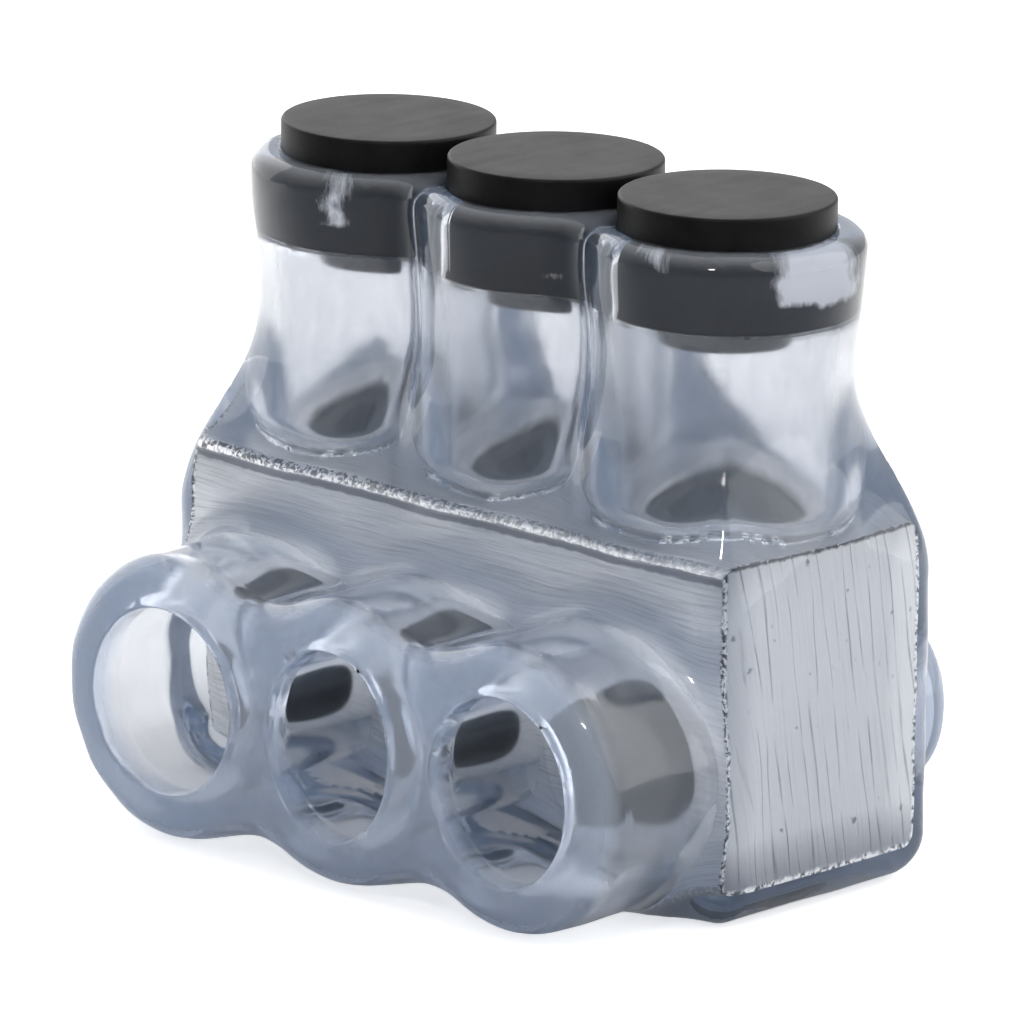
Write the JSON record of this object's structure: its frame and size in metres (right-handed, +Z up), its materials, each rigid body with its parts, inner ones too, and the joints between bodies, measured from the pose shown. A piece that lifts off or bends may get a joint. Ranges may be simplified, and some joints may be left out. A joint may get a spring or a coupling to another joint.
{
  "type": "insulated multi-tap connector",
  "caption": "Aluminium tap block in a clear dip-moulded vinyl jacket, with a row of open wire ports, set screws in towers and rubber plugs.",
  "frame": {"origin": "centre of the underside, below the middle of the aluminium block", "axes": "+X along the row of ports, -Y is the side where the ports open, +Z up along the screw towers"},
  "size_m": [0.0872, 0.0642, 0.0788],
  "materials": {
    "block": "extruded, with sawn ends and fine scratches",
    "jacket": "clear soft vinyl, glossy, slightly hazy and blue",
    "screw": "machined, dull with joint compound",
    "plug": "matt moulded rubber"
  },
  "bodies": {
    "connector": {"block": "block", "jacket": "jacket"},
    "screw_1": {"set_screw_1": "screw"},
    "screw_2": {"set_screw_2": "screw"},
    "screw_3": {"set_screw_3": "screw"},
    "stopper_1": {"plug_1": "plug"},
    "stopper_2": {"plug_2": "plug"},
    "stopper_3": {"plug_3": "plug"}
  },
  "joints": [
    {"name": "screw_1_travel", "type": "slide", "parent": "connector", "child": "screw_1", "axis": [0, 0, 1], "range_m": [-0.01, 0.001]},
    {"name": "screw_2_travel", "type": "slide", "parent": "connector", "child": "screw_2", "axis": [0, 0, 1], "range_m": [-0.01, 0.001]},
    {"name": "screw_3_travel", "type": "slide", "parent": "connector", "child": "screw_3", "axis": [0, 0, 1], "range_m": [-0.01, 0.001]},
    {"name": "plug_1_lift", "type": "slide", "parent": "connector", "child": "stopper_1", "axis": [0, 0, 1], "range_m": [0, 0.025]},
    {"name": "plug_2_lift", "type": "slide", "parent": "connector", "child": "stopper_2", "axis": [0, 0, 1], "range_m": [0, 0.025]},
    {"name": "plug_3_lift", "type": "slide", "parent": "connector", "child": "stopper_3", "axis": [0, 0, 1], "range_m": [0, 0.025]}
  ]
}
